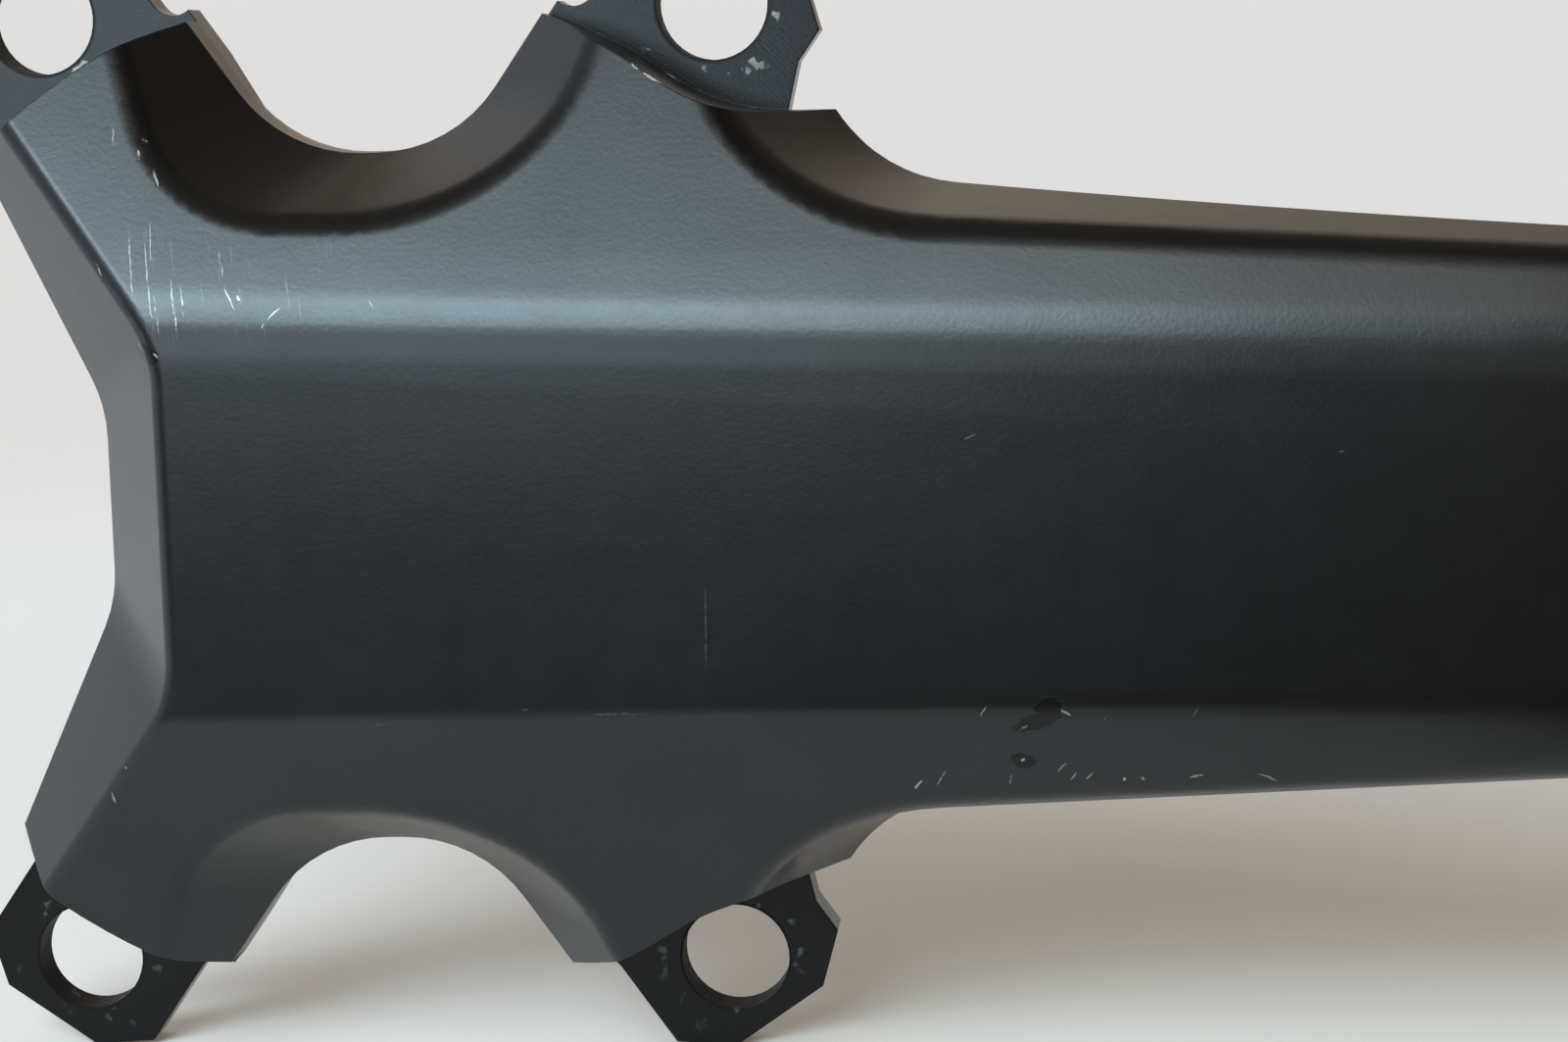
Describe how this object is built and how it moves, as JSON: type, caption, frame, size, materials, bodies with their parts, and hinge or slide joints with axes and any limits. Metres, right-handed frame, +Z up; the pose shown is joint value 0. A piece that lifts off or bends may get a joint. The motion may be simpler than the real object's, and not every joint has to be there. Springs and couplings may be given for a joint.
{
  "type": "bicycle crank arm",
  "caption": "Right-hand hollow forged bicycle crank arm with a cross-shaped spider for chainrings, a pedal eye and a fixed hollow spindle splined at its end.",
  "frame": {"origin": "on the spindle axis, in the plane of the chainring seat at the front of the four tabs", "axes": "+X along the arm to the pedal eye, +Z up with the arm pointing right, -Y out of the outer face, +Y along the spindle to the frame of the bicycle"},
  "size_m": [0.2344, 0.144, 0.1078],
  "materials": {
    "anodised_aluminium": "satin dark grey anodised, with bright worn edges and scratches",
    "anodised_cover": "satin dark grey anodised plate",
    "spindle_steel": "ground and plated steel"
  },
  "bodies": {
    "root": {"crank_arm": "anodised_aluminium", "back_cover": "anodised_cover", "spindle": "spindle_steel"}
  },
  "joints": []
}
